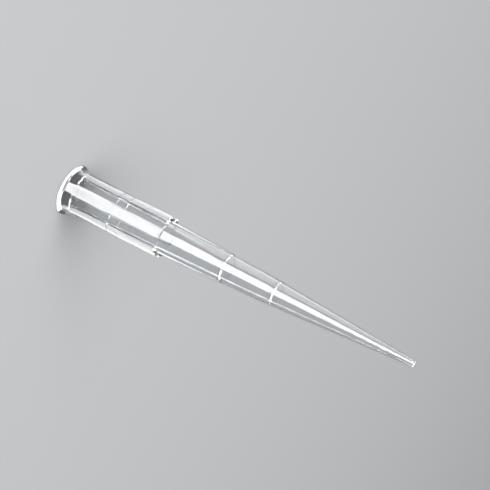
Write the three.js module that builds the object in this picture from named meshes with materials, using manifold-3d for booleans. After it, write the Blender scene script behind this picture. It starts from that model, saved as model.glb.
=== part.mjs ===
// A pipette tip for 200 microlitre pipettes, moulded in one piece from clear polypropylene.
//
// Millimetres. The origin is the centre of the rim's face and +Z runs along the axis to the small
// end, so the tip stands on its rim. A station is a distance along the axis from the rim's face.
//
// From the rim on: a lip, a plain neck, a collar with six narrow flutes that deepen along it, so that
// six broad ribs are left between them and end square at the shoulder, and two plain cones with
// raised graduation rings. Two finer rings run round the collar. The bore runs right through: a
// tapered socket, then the inside of the cones, down to the orifice.
import * as THREE from "three";
import { mergeVertices } from "three/addons/utils/BufferGeometryUtils.js";
import Module from "manifold-3d";

// Lengths along the axis, in the order in which they follow each other from the rim.
const LIP_THICKNESS = 0.33;
const NECK_LENGTH = 1.39;
const COLLAR_LENGTH = 13.58;
const UPPER_CONE_LENGTH = 15.35;
const LOWER_CONE_LENGTH = 22.35;

// The outside, from the neck inwards and outwards.
const NECK_RADIUS = 3.03;
const LIP_OVERHANG = 0.52; // how far the lip stands out from the neck
const COLLAR_STEP = 0.04; // the step from the neck in to the collar
const CREST_TAPER = 0.08; // how much nearer the axis the ribs' crests end than they start
const FLUTE_START_DEPTH = 0.1; // how deep the flutes are at the collar's start
const FLUTE_END_DEPTH = 0.49; // and at the shoulder
const SHOULDER_STEP = 0.06; // the step from the flutes in to the upper cone
const KNEE_RADIUS = 1.79; // where the two cones meet
const END_RADIUS = 0.41;

// The walls, measured square to the axis. The bore's radii follow from them.
const NECK_WALL = 0.42; // at the end of the neck
const MOUTH_LEAD_IN = 0.19; // how much wider the bore is at the rim than at the end of the neck
const SHOULDER_WALL = 0.34;
const KNEE_WALL = 0.33;
const END_WALL = 0.14;

// The ribs. Their sides lean out to leave the mould, and curve into the wall at the foot.
const RIB_COUNT = 6;
const RIB_START_WIDTH = 1.86; // across the crest, at the collar's start
const RIB_END_WIDTH = 1.5; // and at the shoulder
const RIB_DRAFT = 0.02; // how far each side leans out from the crest to the foot
const RIB_EDGE = 0.05; // the rounding of the crest's edges
const FOOT_HEIGHT = 0.1; // of the foot's curve, where the flutes are deepest
const FOOT_SPREAD = 0.1; // of the foot's curve, along the wall

// Raised rings. The graduations are placed from the small end, because they mark what the tip
// holds, and the collar's two finer rings from the rim. Each distance is to a ring's middle.
const GRADUATION_DISTANCES = [20.55, 28.14];
const GRADUATION_WIDTH = 0.34;
const GRADUATION_HEIGHT = 0.05;
const FINE_RING_DISTANCES = [7.75, 9.29];
const FINE_RING_WIDTH = 0.2;
const FINE_RING_HEIGHT = 0.03;
const RING_BEVEL = 0.07; // the length of a raised ring's sloping side
const RING_ROOT = 0.08; // how deep a raised ring reaches into the wall that carries it

// Rounded edges.
const NECK_FILLET = 0.33; // between the lip and the neck
const MOUTH_EDGE = 0.1;
const END_EDGE = 0.04;

// How finely the round forms are divided.
const ROUND_SEGMENTS = 72;
const LIP_SEGMENTS = 6;
const FILLET_SEGMENTS = 4;
const EDGE_SEGMENTS = 2;
const CREST_SEGMENTS = 6;
const FOOT_SEGMENTS = 3;
const FLUTE_SEGMENTS = 4;
const COLLAR_STATIONS = 4;
const CUT_CLEARANCE = 1; // how far the bore's cutter runs past both ends

// Stations that follow from the lengths.
const collarStart = LIP_THICKNESS + NECK_LENGTH;
const shoulder = collarStart + COLLAR_LENGTH;
const knee = shoulder + UPPER_CONE_LENGTH;
const tipLength = knee + LOWER_CONE_LENGTH;

// Radii that follow from the ones above.
const crestStartRadius = NECK_RADIUS - COLLAR_STEP;
const crestEndRadius = crestStartRadius - CREST_TAPER;
const fluteEndRadius = crestEndRadius - FLUTE_END_DEPTH;
const shoulderRadius = fluteEndRadius - SHOULDER_STEP;
const mouthRadius = NECK_RADIUS - NECK_WALL + MOUTH_LEAD_IN;

// The tapered surfaces, as lists of [station, radius].
const coneLine = [[shoulder, shoulderRadius], [knee, KNEE_RADIUS], [tipLength, END_RADIUS]];
const boreLine = [
  [0, mouthRadius],
  [collarStart, NECK_RADIUS - NECK_WALL],
  [shoulder, shoulderRadius - SHOULDER_WALL],
  [knee, KNEE_RADIUS - KNEE_WALL],
  [tipLength, END_RADIUS - END_WALL],
];

const wasm = await Module();
wasm.setup();

/** The radius of a tapered surface at a station. The line runs on straight past its ends. */
function radiusAt(line, station) {
  let i = 1;
  while (i < line.length - 1 && station > line[i][0]) i += 1;
  const [z0, r0] = line[i - 1];
  const [z1, r1] = line[i];
  return r0 + ((r1 - r0) * (station - z0)) / (z1 - z0);
}

/** A closed geometry as a manifold solid. */
function solidOf(geometry) {
  geometry.deleteAttribute("normal");
  geometry.deleteAttribute("uv");
  const merged = mergeVertices(geometry, 1e-5);
  const vertProperties = new Float32Array(merged.attributes.position.array);
  const triVerts = new Uint32Array(merged.index.array);
  return new wasm.Manifold(new wasm.Mesh({ numProp: 3, vertProperties, triVerts }));
}

/** A manifold solid as a geometry that a mesh can show. */
function geometryOf(solid) {
  const { vertProperties, triVerts } = solid.getMesh();
  const geometry = new THREE.BufferGeometry();
  geometry.setAttribute("position", new THREE.Float32BufferAttribute(vertProperties, 3));
  geometry.setIndex(new THREE.Uint32BufferAttribute(triVerts, 1));
  geometry.computeVertexNormals();
  return geometry;
}

/** Turns a profile of (radius, station) points about the tip's axis. */
function revolve(profile) {
  return solidOf(new THREE.LatheGeometry(profile, ROUND_SEGMENTS).rotateX(Math.PI / 2));
}

/** Points on an arc about (radius, station). Angles are in degrees from straight outwards. */
function arc(radius, station, size, from, to, segments) {
  return Array.from({ length: segments + 1 }, (_, i) => {
    const angle = THREE.MathUtils.degToRad(from + ((to - from) * i) / segments);
    return new THREE.Vector2(radius + size * Math.cos(angle), station + size * Math.sin(angle));
  });
}

/** Skins a stack of rings that go round the axis and have as many points each, and closes its ends. */
function loft(rings) {
  const count = rings[0].length;
  const last = rings.length - 1;
  const points = [...rings.flat(), ...[0, last].map((i) => new THREE.Vector3(0, 0, rings[i][0].z))];
  const [startCentre, endCentre] = [points.length - 2, points.length - 1];
  const index = [];
  for (let i = 0; i < count; i += 1) {
    const next = (i + 1) % count;
    for (let ring = 0; ring < last; ring += 1) {
      const [low, high] = [ring * count, (ring + 1) * count];
      index.push(low + i, low + next, high + next, low + i, high + next, high + i);
    }
    index.push(startCentre, next, i, endCentre, last * count + i, last * count + next);
  }
  return solidOf(new THREE.BufferGeometry().setFromPoints(points).setIndex(index));
}

/** One side of a rib's section, from mid-crest to the wall: [offset, share of the flute's depth]. */
function ribSide(width, fluteRadius) {
  const edge = Math.min(RIB_EDGE, FLUTE_END_DEPTH / 4, width / 4);
  const foot = Math.min(FOOT_HEIGHT, FLUTE_END_DEPTH / 2);
  const footOffset = width / 2 + RIB_DRAFT;
  const room = fluteRadius * Math.sin(Math.PI / RIB_COUNT) - footOffset;
  const spread = Math.min(FOOT_SPREAD, room / 2);
  const points = [];
  for (let i = 0; i < CREST_SEGMENTS / 2; i += 1) {
    points.push([((width / 2 - edge) * i * 2) / CREST_SEGMENTS, 1]);
  }
  for (let i = 0; i <= EDGE_SEGMENTS; i += 1) {
    const turn = (Math.PI / 2) * (i / EDGE_SEGMENTS);
    const drop = edge * (1 - Math.cos(turn));
    points.push([width / 2 - edge + edge * Math.sin(turn), 1 - drop / FLUTE_END_DEPTH]);
  }
  for (let i = 0; i <= FOOT_SEGMENTS; i += 1) {
    const turn = (Math.PI / 2) * (i / FOOT_SEGMENTS);
    const rise = foot * (1 - Math.sin(turn));
    points.push([footOffset + spread * (1 - Math.cos(turn)), rise / FLUTE_END_DEPTH]);
  }
  return points;
}

/**
 * The collar's section at a station: a rib's crest, side and foot, then the flute, six times. A rise
 * moves all of it outwards, the sides of the ribs too.
 */
function collarRing(station, rise = 0) {
  const way = Math.max(0, station - collarStart) / COLLAR_LENGTH;
  const crest = THREE.MathUtils.lerp(crestStartRadius, crestEndRadius, way) + rise;
  const flute = crest - THREE.MathUtils.lerp(FLUTE_START_DEPTH, FLUTE_END_DEPTH, way);
  const width = THREE.MathUtils.lerp(RIB_START_WIDTH, RIB_END_WIDTH, way) + 2 * rise;
  const side = ribSide(width, flute).map(([offset, height]) => {
    const radius = flute + height * (crest - flute);
    return { radius, angle: Math.asin(offset / radius) };
  });
  const pitch = (2 * Math.PI) / RIB_COUNT;
  const foot = side[side.length - 1].angle;
  const bay = [];
  for (const { radius, angle } of [...side].reverse()) bay.push({ radius, angle: -angle });
  for (const point of side.slice(1)) bay.push(point);
  for (let i = 1; i < FLUTE_SEGMENTS; i += 1) {
    bay.push({ radius: flute, angle: foot + ((pitch - 2 * foot) * i) / FLUTE_SEGMENTS });
  }
  return Array.from({ length: RIB_COUNT }, (_, rib) => bay.map(({ radius, angle }) => {
    const turned = angle + rib * pitch;
    return new THREE.Vector3(radius * Math.cos(turned), radius * Math.sin(turned), station);
  })).flat();
}

/** The lip, the neck and the cones, with a plain core where the collar goes. */
function body() {
  const halfLip = LIP_THICKNESS / 2;
  const lipCentre = NECK_RADIUS + LIP_OVERHANG - halfLip;
  const fillet = Math.min(NECK_FILLET, LIP_OVERHANG - halfLip, NECK_LENGTH / 2);
  const edge = Math.min(END_EDGE, END_WALL / 2);
  return revolve([
    new THREE.Vector2(0, 0),
    ...arc(lipCentre, halfLip, halfLip, -90, 90, LIP_SEGMENTS),
    ...arc(NECK_RADIUS + fillet, LIP_THICKNESS + fillet, fillet, 270, 180, FILLET_SEGMENTS),
    new THREE.Vector2(NECK_RADIUS, collarStart),
    new THREE.Vector2(shoulderRadius, collarStart),
    new THREE.Vector2(shoulderRadius, shoulder),
    new THREE.Vector2(KNEE_RADIUS, knee),
    new THREE.Vector2(END_RADIUS, tipLength - edge),
    new THREE.Vector2(END_RADIUS - edge, tipLength),
    new THREE.Vector2(0, tipLength),
  ]);
}

/** The fluted collar. It starts inside the neck, which it joins. */
function collar() {
  const stations = [collarStart - NECK_LENGTH / 2];
  for (let i = 0; i <= COLLAR_STATIONS; i += 1) {
    stations.push(collarStart + (COLLAR_LENGTH * i) / COLLAR_STATIONS);
  }
  return loft(stations.map((station) => collarRing(station)));
}

/** What is cut away for the bore, past both ends of the tip. */
function boreCutter() {
  const edge = Math.min(MOUTH_EDGE, LIP_THICKNESS / 2);
  const edgeCentre = radiusAt(boreLine, edge) + edge;
  const orifice = END_RADIUS - END_WALL;
  return revolve([
    new THREE.Vector2(0, -CUT_CLEARANCE),
    new THREE.Vector2(edgeCentre, -CUT_CLEARANCE),
    ...arc(edgeCentre, edge, edge, 270, 180, FILLET_SEGMENTS),
    ...boreLine.slice(1).map(([station, radius]) => new THREE.Vector2(radius, station)),
    new THREE.Vector2(orifice, tipLength + CUT_CLEARANCE),
    new THREE.Vector2(0, tipLength + CUT_CLEARANCE),
  ]);
}

/** A raised ring's section: [station, rise] from its root round its crest, which is flat. */
function ringSection(middle, width, height) {
  const bevel = Math.min(RING_BEVEL, width / 3);
  const [start, end] = [middle - width / 2, middle + width / 2];
  return [[start, -RING_ROOT], [start + bevel, height], [end - bevel, height], [end, -RING_ROOT]];
}

/** A graduation: a raised ring on the cones. */
function graduation(distance) {
  const section = ringSection(tipLength - distance, GRADUATION_WIDTH, GRADUATION_HEIGHT);
  const profile = [...section, section[0]].map(([station, rise]) => (
    new THREE.Vector2(radiusAt(coneLine, station) + rise, station)));
  return revolve(profile);
}

/** A fine ring round the collar. It follows the ribs and the flutes. */
function fineRing(distance) {
  const section = ringSection(distance, FINE_RING_WIDTH, FINE_RING_HEIGHT);
  return loft(section.map(([station, rise]) => collarRing(station, rise)));
}

function pipetteTip() {
  const rings = [...FINE_RING_DISTANCES.map(fineRing), ...GRADUATION_DISTANCES.map(graduation)];
  const outside = rings.reduce((solid, ring) => solid.add(ring), body().add(collar()));
  return geometryOf(outside.subtract(boreCutter()));
}

const clearPolypropylene = new THREE.MeshStandardMaterial({
  color: 0xf0f4f6,
  roughness: 0.08,
  metalness: 0,
  transparent: true,
  opacity: 0.35,
});

const tip = new THREE.Mesh(pipetteTip(), clearPolypropylene);
tip.name = "pipette_tip";

const part = new THREE.Group();
part.add(tip);

export default part;
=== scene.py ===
# %% [markdown]
# # A clear pipette tip
#
# The real thing is 53 mm of clear polypropylene, moulded in one shot: a thin flared lip, a short
# neck, a collar with six ribs, and two long cones that end in an orifice finer than a matchstick's
# end. Nothing on it is painted or joined, so the whole look comes from two things: exact, softly
# rounded walls, and what clear plastic does to light.
#
# This notebook loads the packed model, which fixes the size and the place of everything, builds
# one fine mesh over it, and then sets up the plastic, the lamps, the floor and the camera.

# %% Load the packed model
import math

import bpy
from mathutils import Matrix, Vector


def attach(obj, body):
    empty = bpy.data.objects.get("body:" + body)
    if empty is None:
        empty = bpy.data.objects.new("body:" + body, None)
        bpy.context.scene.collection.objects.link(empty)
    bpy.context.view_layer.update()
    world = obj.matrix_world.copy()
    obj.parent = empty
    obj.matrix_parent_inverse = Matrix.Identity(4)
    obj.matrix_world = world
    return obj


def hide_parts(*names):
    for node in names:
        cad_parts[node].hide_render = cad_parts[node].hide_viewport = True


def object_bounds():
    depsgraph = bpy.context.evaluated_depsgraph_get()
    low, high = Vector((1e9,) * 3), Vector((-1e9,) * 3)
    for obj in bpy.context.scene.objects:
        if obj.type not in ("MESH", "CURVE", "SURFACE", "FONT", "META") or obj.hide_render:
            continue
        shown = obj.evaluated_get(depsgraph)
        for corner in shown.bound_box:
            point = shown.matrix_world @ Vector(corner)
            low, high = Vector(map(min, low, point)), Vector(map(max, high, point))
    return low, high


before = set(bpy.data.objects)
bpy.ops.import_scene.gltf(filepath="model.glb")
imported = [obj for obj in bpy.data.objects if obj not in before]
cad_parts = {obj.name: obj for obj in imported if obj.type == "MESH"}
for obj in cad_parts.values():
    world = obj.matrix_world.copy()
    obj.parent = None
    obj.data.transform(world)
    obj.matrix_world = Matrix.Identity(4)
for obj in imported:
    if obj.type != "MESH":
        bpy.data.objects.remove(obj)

cad_low, cad_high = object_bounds()
MM = 0.001
tip_length = (cad_high.z - cad_low.z) / MM
lip_radius = (cad_high.x - cad_low.x) / 2 / MM
print(f"nodes: {sorted(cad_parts)}, {tip_length:.2f} mm long, lip {2 * lip_radius:.2f} mm across")

# %% [markdown]
# ## The sizes
#
# All sizes are in millimetres. A station is a distance along the axis from the rim's face, which
# the tip stands on. The tip's length and the lip's radius come from the loaded model, and the rest
# are the named sizes that the model was made from. The walls are thin: 0.42 mm at the neck and
# only 0.14 mm at the small end.

# %% Sizes along the axis and across it
lip_thickness, neck_end, shoulder, knee = 0.33, 1.72, 15.30, 30.65
neck_radius, crest_start, crest_end = 3.03, 2.99, 2.91
flute_end, shoulder_radius, knee_radius, end_radius = 2.42, 2.36, 1.79, 0.41

outer_line = [(shoulder, shoulder_radius), (knee, knee_radius), (tip_length, end_radius)]
bore_line = [(0, 2.80), (neck_end, 2.61), (shoulder, 2.02), (knee, 1.46), (tip_length, 0.27)]
graduations = [tip_length - 28.14, tip_length - 20.55]
print(f"graduations at {graduations[0]:.2f} and {graduations[1]:.2f} mm from the rim")

# %% [markdown]
# ## The camera
#
# The camera comes early, because every later choice is judged through it. It looks down at the
# tip at about 20 degrees through a long lens, 27 cm away, and it is turned on its side, so that the
# standing tip runs across the picture from upper left to lower right. The aim point is a little
# beside the axis, so that the tip sits well in the picture. A long lens near the object keeps both
# cones straight, and still makes the lip look slightly nearer than the point.

# %% The camera
def direction(azimuth, elevation):
    """A unit vector from the tip: azimuth 0 is -Y and 90 is +X, elevation is above the floor."""
    a, e = math.radians(azimuth), math.radians(elevation)
    return Vector((math.sin(a) * math.cos(e), -math.cos(a) * math.cos(e), math.sin(e)))


def facing(back, place, turn=0.0):
    """A matrix at a place whose -Z looks along -back, turned about that line by some degrees."""
    right = Vector((0, 0, 1)).cross(back).normalized()
    up = back.cross(right)
    t = math.radians(turn)
    x, y = right * math.cos(t) + up * math.sin(t), up * math.cos(t) - right * math.sin(t)
    matrix = Matrix((x, y, back)).transposed().to_4x4()
    matrix.translation = place
    return matrix


camera = bpy.data.objects.new("camera", bpy.data.cameras.new("camera"))
bpy.context.scene.collection.objects.link(camera)
camera.data.sensor_width, camera.data.lens = 36, 150.3
view_azimuth, view_elevation, view_distance = 32.17, 19.67, 0.2661
aim = Vector((-0.00322, -0.00202, 0.02567))
back = direction(view_azimuth, view_elevation)
camera.matrix_world = facing(back, aim + back * view_distance, turn=116.71)
bpy.context.scene.camera = camera
print(f"camera at {[round(v, 4) for v in camera.location]}, {camera.data.lens} mm lens")

# %% [markdown]
# ## The wall as a stack of rings
#
# A clear part shows its inside as well as its outside, so the mesh has to be a real wall with an
# inner and an outer skin. The simplest way to get one is to walk round the wall's outline once, from
# the rim, up the outside to the small end, and back down the bore. At each stop a ring of points
# goes round the axis, and neighbouring rings are joined with four-sided faces. Every ring has as
# many points as the next, so ribs, flutes and plain cones share one even grid.
#
# Most rings are plain circles. In the collar each sixth of a ring follows the section of a rib: the
# broad crest, a small rounded edge, a side that leans out so that the part leaves its mould, a curved
# foot, and then half of the narrow flute beyond it.

# %% One side of a rib
rib_count, rib_start_width, rib_end_width = 6, 1.86, 1.50
rib_draft, rib_edge, foot_height, foot_spread = 0.02, 0.05, 0.10, 0.10
flute_start_depth, flute_end_depth = 0.10, crest_end - flute_end
hold = 0.01     # how far a holding point or ring stays from the rounding that it guards


def shares(count):
    """Evenly spaced numbers from 0 to 1."""
    return [i / count for i in range(count + 1)]


def rib_side(width):
    """From mid-crest to the foot of a rib: (distance from its middle, share of its height)."""
    half = width / 2
    points = [((half - rib_edge - hold) * s, 1.0) for s in shares(7)]
    for s in shares(5):
        turn = s * math.pi / 2
        points.append((half - rib_edge + rib_edge * math.sin(turn),
                       1 - rib_edge * (1 - math.cos(turn)) / flute_end_depth))
    low, high = points[-1], (half + rib_draft, foot_height / flute_end_depth)
    points += [tuple(a + (b - a) * s for a, b in zip(low, high)) for s in shares(4)[1:-1]]
    for s in shares(6):
        turn = s * math.pi / 2
        points.append((high[0] + foot_spread * (1 - math.cos(turn)), high[1] * (1 - math.sin(turn))))
    return points


for width in (rib_start_width, rib_end_width):
    print(f"a rib {width:.2f} mm wide is {2 * rib_side(width)[-1][0]:.2f} mm across its feet")

# %% [markdown]
# ## Rings for the collar
#
# The flutes are cut deeper and deepen evenly towards the shoulder, because the inside is a cone and
# the wall under them has to stay even, while the crests hold almost the same radius. The ribs narrow
# a little on the way. So a ring's shape depends on its station, and on three small changes. `cut` is
# how much of the flute's depth is there: it grows from 0 to 1 over the flute's first hundredths of a
# millimetre. `rise` moves the whole section outwards, for the two fine rings. `inset` draws the
# ribs in: the last few rings before the shoulder use it to round the edges of their square ends,
# which is what makes those edges catch the light. The flute's floor follows it part of the way.

# %% A ring at any station
flute_steps, floor_follows = 10, 0.4


def collar_ring(station, cut=1.0, rise=0.0, inset=0.0):
    """The points of the collar's section: a list of (radius, angle)."""
    way = min(1, max(0, (station - neck_end) / (shoulder - neck_end)))
    crest = crest_start + (crest_end - crest_start) * way + rise
    depth = (flute_start_depth + (flute_end_depth - flute_start_depth) * way) * cut
    flute, crest = crest - depth - floor_follows * inset, crest - inset
    width = rib_start_width + (rib_end_width - rib_start_width) * way + 2 * rise
    side = []
    for offset, height in rib_side(width):
        radius = flute + (crest - flute) * height
        side.append((radius, math.asin(max(0, offset - inset * height) / radius)))
    pitch, foot = 2 * math.pi / rib_count, side[-1][1]
    bay = [(r, -a) for r, a in reversed(side)] + side[1:]
    bay += [(flute, foot + (pitch - 2 * foot) * s) for s in shares(flute_steps)[1:-1]]
    return [(r, a + rib * pitch) for rib in range(rib_count) for r, a in bay]


def round_ring(station, radius):
    """A circle with the same number of points, spaced round the axis as the collar's are."""
    return [(radius, angle) for _, angle in collar_ring(station)]


columns = len(collar_ring(shoulder))
print(f"{columns} points in every ring")

# %% [markdown]
# ## The outline of the wall
#
# The outline is a list of rings. `bend` adds the rings of a rounded edge or fillet: an arc
# about a centre, like a lathe tool's nose. The lip is a full half round, as the real one is, so
# that it doesn't cut a glove, and a small fillet joins it to the neck. Small steps mark where the
# mould's parts meet: 0.04 mm at the collar's start and 0.06 mm at the shoulder. Two fine rings,
# 0.03 mm high, run round the collar over ribs and flutes alike. Their sides are smooth waves.

# %% Lip, neck and collar
rings = []


def put(station, radius):
    """Adds a plain circle to the wall."""
    rings.append((station, round_ring(station, radius)))


def bend(station, radius, size, start, end, steps):
    """Adds an arc of circles about (radius, station). Angles in degrees from straight outwards."""
    for s in shares(steps):
        turn = math.radians(start + (end - start) * s)
        put(station + size * math.sin(turn), radius + size * math.cos(turn))


half_lip, fillet, mid_neck = lip_thickness / 2, 0.12, 1.2
bend(half_lip, lip_radius - half_lip, half_lip, -90, 90, steps=14)
bend(lip_thickness + fillet, neck_radius + fillet, fillet, 270, 180, steps=10)
put(mid_neck, neck_radius)
step_edge = (neck_radius - crest_start) / 2
bend(neck_end - step_edge, neck_radius - step_edge, step_edge, 0, 90, steps=4)
bend(neck_end + step_edge, crest_start + step_edge, step_edge, 270, 180, steps=4)


def eased_share(s):
    """A number from 0 to 1 that starts and ends gently."""
    return 0.5 - 0.5 * math.cos(math.pi * s)


flute_start, flute_run = neck_end + step_edge, 0.08
for s in shares(8)[1:]:
    station = flute_start + flute_run * s
    rings.append((station, collar_ring(station, cut=eased_share(s))))

fine_ring_middles = (7.75, 9.29)
fine_ring_width, fine_ring_height, fine_ring_run = 0.20, 0.03, 0.06
rib_end_edge = 0.05
full_depth, collar_stop = flute_start + flute_run, shoulder - rib_end_edge
plain = [full_depth + (collar_stop - full_depth) * s for s in shares(18)[1:]]
stops = [(z, 0.0) for z in plain if min(abs(z - m) for m in fine_ring_middles) > fine_ring_width]
for middle in fine_ring_middles:
    for s in shares(6):
        offset, rise = fine_ring_width / 2 - fine_ring_run * s, fine_ring_height * eased_share(s)
        stops += [(middle - offset, rise), (middle + offset, rise)]
for station, rise in sorted(stops):
    rings.append((station, collar_ring(station, rise=rise)))
for s in shares(5)[1:]:
    turn = s * math.pi / 2
    station = collar_stop + rib_end_edge * math.sin(turn)
    rings.append((station, collar_ring(station, inset=rib_end_edge * (1 - math.cos(turn)))))
print(f"{len(rings)} rings from the rim to the shoulder")

# %% [markdown]
# ## The cones and their graduations
#
# The two graduation rings are raised, not printed: 0.05 mm high and 0.34 mm wide. The mould has a
# fine groove for each, turned with a tool whose nose is rounded, so a ring's sides are smooth
# slopes and not sharp steps. A slope turns through many angles, so some part of it always meets a
# lamp, and each graduation reads as a fine bright line. The knee between the cones is eased over
# half a millimetre, so that a highlight runs across it without a kink.

# %% Cones, graduations and the small end
def on(line, station):
    """The radius of a tapered surface at a station."""
    for (z0, r0), (z1, r1) in zip(line, line[1:]):
        if station <= z1:
            break
    return r0 + (r1 - r0) * (station - z0) / (z1 - z0)


def eased(line, station, reach=0.5):
    """The same radius, with the line's corners rounded over a short reach."""
    spread = shares(8)
    return sum(on(line, station + reach * (2 * s - 1)) for s in spread) / len(spread)


def raised(line, middle, width, height, run):
    """A ring that stands up from a tapered surface. `run` is how long each smooth slope is."""
    half = (width + run) / 2
    for s in shares(8):
        station = middle - half + run * s
        put(station, on(line, station) + height * eased_share(s))
    for s in shares(8):
        station = middle + half - run * (1 - s)
        put(station, on(line, station) + height * eased_share(1 - s))


graduation_width, graduation_height, graduation_run = 0.34, 0.05, 0.10
foot = 0.03
bend(shoulder + foot, shoulder_radius + foot, foot, 270, 180, steps=5)
plain_stops = [[17, 19, 21, 23], [26, 28, 29.4, 30.15, 30.4, 30.65, 30.9, 31.15, 31.8]]
for middle, stations in zip(sorted(graduations), plain_stops):
    for station in stations:
        put(station, eased(outer_line, station))
    raised(outer_line, middle, graduation_width, graduation_height, graduation_run)
for station in [34, 36, 38, 40, 42, 44, 46, 48, 50, 51.5, 52.6]:
    put(station, on(outer_line, station))
end_edge = 0.04
bend(tip_length - end_edge, end_radius - end_edge, end_edge, 0, 90, steps=5)
print(f"{len(rings)} rings up to the small end")

# %% [markdown]
# ## The bore
#
# Back down the inside: the orifice, the two cones, and the tapered socket that grips a pipette's
# nose and seals on it. The mouth is rounded so that the nose finds its way in.

# %% The bore
orifice_edge, mouth_edge = 0.02, 0.1
bore_end = bore_line[-1][1]
bend(tip_length - orifice_edge, bore_end + orifice_edge, orifice_edge, 90, 180, steps=3)
for station in [52.6, 51.5, 50, 48, 46, 44, 42, 40, 38, 36, 34, 32, 31.15, 30.9, 30.65, 30.4, 30.15,
                29, 27, 25, 23, 21, 19, 17, 16, 15.8, 15.55, 15.3, 15.05, 14.8, 13, 11, 9, 6, 4,
                2.2, 1.97, 1.72, 1.47, 1.2]:
    put(station, eased(bore_line, station))
bend(mouth_edge, on(bore_line, mouth_edge) + mouth_edge, mouth_edge, 180, 270, steps=7)
print(f"{len(rings)} rings in the whole outline")

# %% [markdown]
# ## Holding rings
#
# A smooth mesh takes the direction of each vertex from all the faces that meet in it. Where a tiny
# rounding meets a long plain wall, that would tilt the wall's shading over its whole length, and in
# clear plastic even the light that passes through would be bent wrongly. So wherever a long step
# of the outline has a short neighbour, one more ring goes in a hundredth of a millimetre from that
# end. It holds the wall's own direction right up to the edge. With every ring in place, the rings
# are joined with faces.

# %% Hold the long walls, and join the rings into a mesh
long_step, short_share = 0.1, 0.25


def step_length(low, high):
    """How far apart two rings are on the crest of a rib."""
    (z0, ring0), (z1, ring1) = low, high
    return math.hypot(z1 - z0, ring1[0][0] - ring0[0][0])


def between(low, high, share):
    """A ring part of the way from one ring to another."""
    (z0, ring0), (z1, ring1) = low, high
    mixed = [(r0 + (r1 - r0) * share, a0 + (a1 - a0) * share)
             for (r0, a0), (r1, a1) in zip(ring0, ring1)]
    return z0 + (z1 - z0) * share, mixed


def held(plain):
    """The same rings, with a holding ring at each end of a long step that has a short neighbour."""
    count, result = len(plain), []
    steps = [step_length(plain[i], plain[(i + 1) % count]) for i in range(count)]
    for i, here in enumerate(plain):
        ahead, step = plain[(i + 1) % count], steps[i]
        result.append(here)
        if step > long_step and steps[i - 1] < step * short_share:
            result.append(between(here, ahead, hold / step))
        if step > long_step and steps[(i + 1) % count] < step * short_share:
            result.append(between(here, ahead, 1 - hold / step))
    return result


rings = held(rings)


def wall(name):
    """Joins the rings into one closed skin, the last ring to the first across the rim's face."""
    points = [(r * math.cos(a) * MM, r * math.sin(a) * MM, z * MM)
              for z, ring in rings for r, a in ring]
    faces = []
    for i in range(len(rings)):
        j = (i + 1) % len(rings)
        for k in range(columns):
            n = (k + 1) % columns
            faces.append((i * columns + k, i * columns + n, j * columns + n, j * columns + k))
    mesh = bpy.data.meshes.new(name)
    mesh.from_pydata(points, [], faces)
    mesh.polygons.foreach_set("use_smooth", [True] * len(faces))
    mesh.update()
    piece = bpy.data.objects.new(name, mesh)
    bpy.context.scene.collection.objects.link(piece)
    return piece


tip = wall("clear_tip")
print(f"{len(rings)} rings, {len(tip.data.polygons)} faces")

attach(tip, "root")
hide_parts("pipette_tip")

# %% [markdown]
# ## Writing a finish
#
# A finish is a small program of nodes. Two helpers keep it readable: `Signal` wraps a socket, so
# that ordinary arithmetic on it adds Math nodes, and `Finish.node` makes any other node from its
# type, its settings and what goes into its sockets.

# %% Signal and Finish
class Signal:
    """One value inside a finish. Arithmetic on it adds Math nodes."""

    def __init__(self, finish, socket):
        self.finish, self.socket = finish, socket

    def maths(self, operation, first, second):
        return self.finish.node("ShaderNodeMath", {"operation": operation}, {0: first, 1: second})

    def __add__(self, other):
        return self.maths("ADD", self, other)

    def __mul__(self, other):
        return self.maths("MULTIPLY", self, other)

    __radd__, __rmul__ = __add__, __mul__


class Finish:
    """A material, and one way to add nodes to it."""

    def __init__(self, name):
        self.material = bpy.data.materials.new(name)
        self.material.use_nodes = True
        self.nodes = self.material.node_tree.nodes
        self.links = self.material.node_tree.links
        self.shader = self.nodes["Principled BSDF"]

    def fill(self, node, sockets):
        for key, value in sockets.items():
            if isinstance(value, Signal):
                self.links.new(value.socket, node.inputs[key])
            else:
                node.inputs[key].default_value = value

    def node(self, kind, settings, sockets, output=0):
        """A new node: its settings first, then its sockets. Gives back one of its outputs."""
        made = self.nodes.new(kind)
        for key, value in settings.items():
            setattr(made, key, value)
        self.fill(made, sockets)
        return Signal(self, made.outputs[output])


print(f"a Signal knows {[n for n in vars(Signal) if n.endswith(('add__', 'mul__'))]}")

# %% [markdown]
# ## Clear polypropylene
#
# Moulded polypropylene is nearly water clear in a wall this thin, with a refractive index of 1.49.
# What tells it from glass is its skin. The mould's core and cavity are polished along the axis, so
# hair-fine draw lines run lengthways. The melt cools unevenly, so the walls have long soft waves,
# which make highlights waver a little. And the plastic is faintly hazy, more in some places than in
# others. All three are noise textures read in millimetres of the part itself, so they stay put on
# it whatever the view. They change the roughness by a hundredth or so and the bump by less than a
# thousandth of a millimetre: any more, and the plastic would look frosted.
#
# Clear walls also gather the lamps' light into hot spots on the floor, which a renderer draws as
# blotches. The tip is therefore hidden from rays that leave matt surfaces. Its soft shadow stays.

# %% The skin of the plastic
plastic = Finish("clear moulded polypropylene")
place = plastic.node("ShaderNodeTexCoord", {}, {}, "Object")


def scaled(vector, factors):
    """A vector with each of its axes multiplied by its own factor."""
    return plastic.node("ShaderNodeVectorMath", {"operation": "MULTIPLY"}, {0: vector, 1: factors})


in_mm = scaled(place, (1000, 1000, 1000))
fine_and_long, wide_and_long = scaled(in_mm, (5.0, 5.0, 0.12)), scaled(in_mm, (0.8, 0.8, 0.16))

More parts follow.
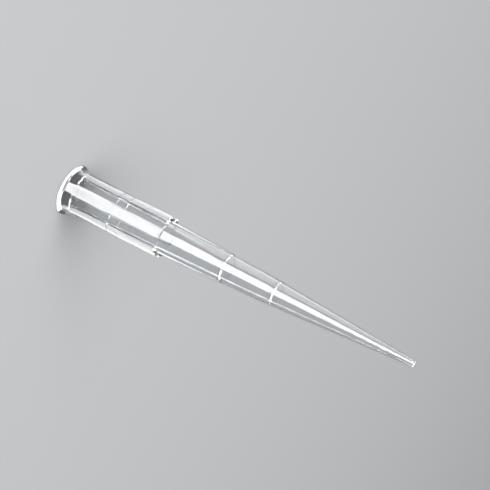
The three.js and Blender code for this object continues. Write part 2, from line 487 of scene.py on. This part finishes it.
draw_lines = plastic.node(
    "ShaderNodeTexNoise", {}, {"Vector": fine_and_long, "Scale": 1.6, "Detail": 3.0})
waves = plastic.node(
    "ShaderNodeTexNoise", {}, {"Vector": wide_and_long, "Scale": 1.0, "Detail": 1.0})
haze = plastic.node("ShaderNodeTexNoise", {}, {"Vector": in_mm, "Scale": 0.45, "Detail": 4.0})

clearest, haziest = (0.90, 0.91, 0.92, 1), (0.85, 0.865, 0.88, 1)
line_roughness, haze_roughness = 0.008, 0.012
wave_height, line_share = 0.0008 * MM, 0.05
plastic.fill(plastic.shader, {
    "Transmission Weight": 0.97,
    "IOR": 1.49,
    "Roughness": draw_lines * line_roughness + haze * haze_roughness,
    "Base Color": plastic.node(
        "ShaderNodeMix", {"data_type": "RGBA"},
        {"Factor": haze, "A": clearest, "B": haziest}, "Result"),
    "Normal": plastic.node(
        "ShaderNodeBump", {},
        {"Strength": 1.0, "Distance": wave_height, "Height": waves + draw_lines * line_share},
        "Normal"),
})
tip.data.materials.append(plastic.material)
tip.visible_diffuse = False
print(f"{plastic.material.name}: {len(plastic.nodes)} nodes")

# %% [markdown]
# ## Floor
#
# A plain matt floor in pale grey. White would swallow the highlights that draw a clear object. The
# floor isn't seen by mirror-like rays: the upright walls of the tip mirror only what lies
# below the horizon, and with the floor out of the way, lamps can be placed there.
#
# The socket's mouth stands on the floor, and through it those rays would meet the lamps below
# head on, as one glaring spot. A small disc of the same floor, a hair's breadth down, closes it.

# %% The floor
matt = Finish("pale matt floor")
matt.fill(matt.shader, {
    "Base Color": (0.52, 0.53, 0.54, 1),
    "Roughness": 0.9,
    "Specular IOR Level": 0.0,
})


def disc(name, radius, height, vertices):
    """A flat round piece of the floor."""
    bpy.ops.mesh.primitive_circle_add(
        vertices=vertices, radius=radius, fill_type="NGON", location=(0, 0, height))
    made = bpy.context.active_object
    made.name = name
    made.data.materials.append(matt.material)
    return made


floor = disc("floor", radius=2.5, height=0, vertices=96)
floor.visible_glossy = False

patch = disc("floor under the mouth", radius=3.4 * MM, height=-0.02 * MM, vertices=48)
print(f"floor {floor.dimensions.x:.1f} m across, patch {patch.dimensions.x / MM:.1f} mm")

# %% [markdown]
# ## Light
#
# Clear things are lit by their surroundings, so there are two kinds of lamp. One large soft box
# overhead, the key, lights the floor and gives the tip its soft shadow. All the other lamps are
# seen only in and through the plastic and light nothing matt, so they draw the tip and leave every
# plain colour as it is written.
#
# The upright lamps stand round the tip, mostly below the floor, which is where the walls mirror.
# The front ones put the broad bright stripe down the middle. They are split by height, because each
# height is mirrored by one stretch of the tip: neck, collar or cones. The side ones give the
# collar's sides their pale bands and the cones their thin edge stripe. The gleams are long low boxes
# above the tip. Only what slopes mirrors them: the lip, the steps and the raised rings. The part of
# such a slope that meets a lamp is far thinner than a hair, and it shows only because the gleams are
# many times brighter than white paper.

# %% The lamps and the world
watts_per_square_metre = 4      # at this, an area lamp looks as bright as white paper
upright_distance = 0.28
middle_height = 0.5 * tip_length * MM


def lamp_at(name, place, toward, width, height, radiance, gloss_only):
    """A rectangular lamp, `radiance` times as bright as white paper, that faces back along toward."""
    lamp = bpy.data.lights.new(name, "AREA")
    lamp.shape, lamp.size, lamp.size_y = "RECTANGLE", width, height
    lamp.energy = watts_per_square_metre * width * height * radiance
    holder = bpy.data.objects.new(name, lamp)
    bpy.context.scene.collection.objects.link(holder)
    holder.matrix_world = facing(toward, place)
    holder.visible_camera = False
    holder.visible_diffuse = not gloss_only


def softbox(name, azimuth, elevation, distance, width, height, radiance, gloss_only=True):
    """A lamp above the floor that faces the middle of the tip."""
    toward = direction(azimuth, elevation)
    place = Vector((0, 0, middle_height)) + toward * distance
    lamp_at(name, place, toward, width, height, radiance, gloss_only)


def upright(name, azimuth, low, high, width, radiance):
    """An upright lamp that reaches from one height to another. It lights nothing matt."""
    toward = direction(azimuth, 0)
    place = toward * upright_distance + Vector((0, 0, (low + high) / 2))
    lamp_at(name, place, toward, width, high - low, radiance, gloss_only=True)


front = 31.3    # the side that the tip shows to the camera

# name, azimuth, elevation, distance, width, height, radiance
softbox("key", 20, 62, 1.20, 1.00, 1.00, 5.0, gloss_only=False)
softbox("left gleam", front - 90, 47, 0.40, 0.90, 0.20, 90)
softbox("middle gleam", front, 47, 0.40, 0.25, 0.20, 25)
softbox("right gleam", front + 88, 44, 0.40, 0.90, 0.26, 95)
softbox("back gleam", front + 180, 40, 0.40, 1.10, 0.20, 60)

# name, azimuth, lowest and highest point, width, radiance
upright("front stripe, neck", front - 4.5, -0.139, -0.1235, 0.31, 17)
upright("front stripe, collar", front - 5, -0.1235, -0.085, 0.30, 11.5)
upright("front stripe, cones", front - 6, -0.085, 0.03, 0.28, 12.5)
upright("left wall, collar", front - 112, -0.13, -0.085, 0.46, 2.9)
upright("left wall, cones", front - 92, -0.085, 0.03, 0.50, 3)
upright("right wall, collar", front + 112, -0.13, -0.085, 0.40, 4.0)
upright("right stripe, cones", front + 87, -0.085, 0.03, 0.05, 10)

world = bpy.data.worlds.new("studio")
bpy.context.scene.world = world
world.use_nodes = True
dim_grey = (0.10, 0.10, 0.105, 1)
world.node_tree.nodes["Background"].inputs["Color"].default_value = dim_grey

# %% [markdown] ## The look The view transform is set to Standard, so that a colour comes out as
# it is written.

# %% Look
bpy.context.scene.view_settings.view_transform = "Standard"
